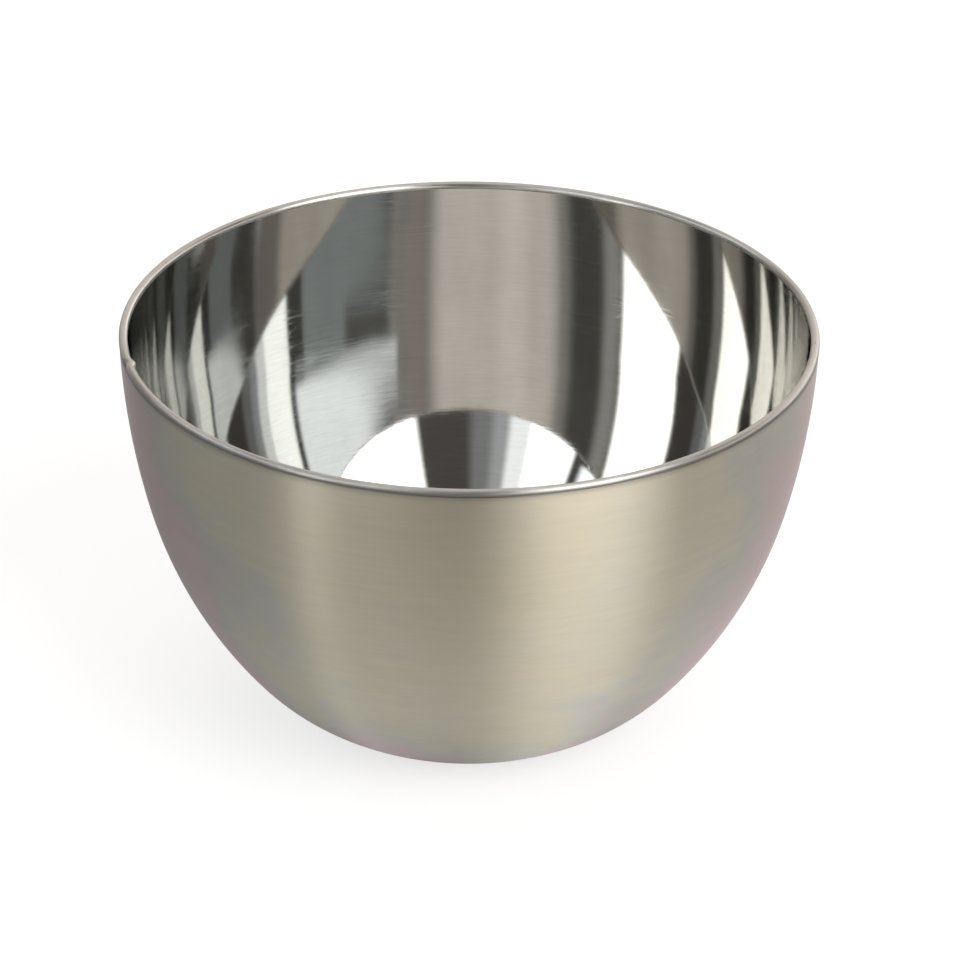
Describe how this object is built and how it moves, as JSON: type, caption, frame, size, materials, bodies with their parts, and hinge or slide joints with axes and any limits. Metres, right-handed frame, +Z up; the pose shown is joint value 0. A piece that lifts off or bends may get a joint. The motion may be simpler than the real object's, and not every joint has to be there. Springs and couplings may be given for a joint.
{
  "type": "shaving bowl",
  "caption": "Round deep steel bowl for whipping up shaving lather, with a double wall, a satin outside, a mirror inside and a rounded rim.",
  "frame": {"origin": "middle of the standing ring, on the surface that the bowl stands on", "axes": "+Z up along the bowl's axis; the start of the rim weld lies at 193.5 degrees from +X"},
  "size_m": [0.11, 0.11, 0.0657],
  "materials": {
    "polished_steel": "mirror polished stainless steel with fine polishing marks",
    "satin_steel": "satin stainless steel, brushed around the bowl",
    "bead_steel": "polished weld bead",
    "plug_steel": "plain stainless steel"
  },
  "bodies": {
    "root": {"inner_shell": "polished_steel", "outer_shell": "satin_steel", "rim_weld": "bead_steel", "vent_plug": "plug_steel"}
  },
  "joints": []
}
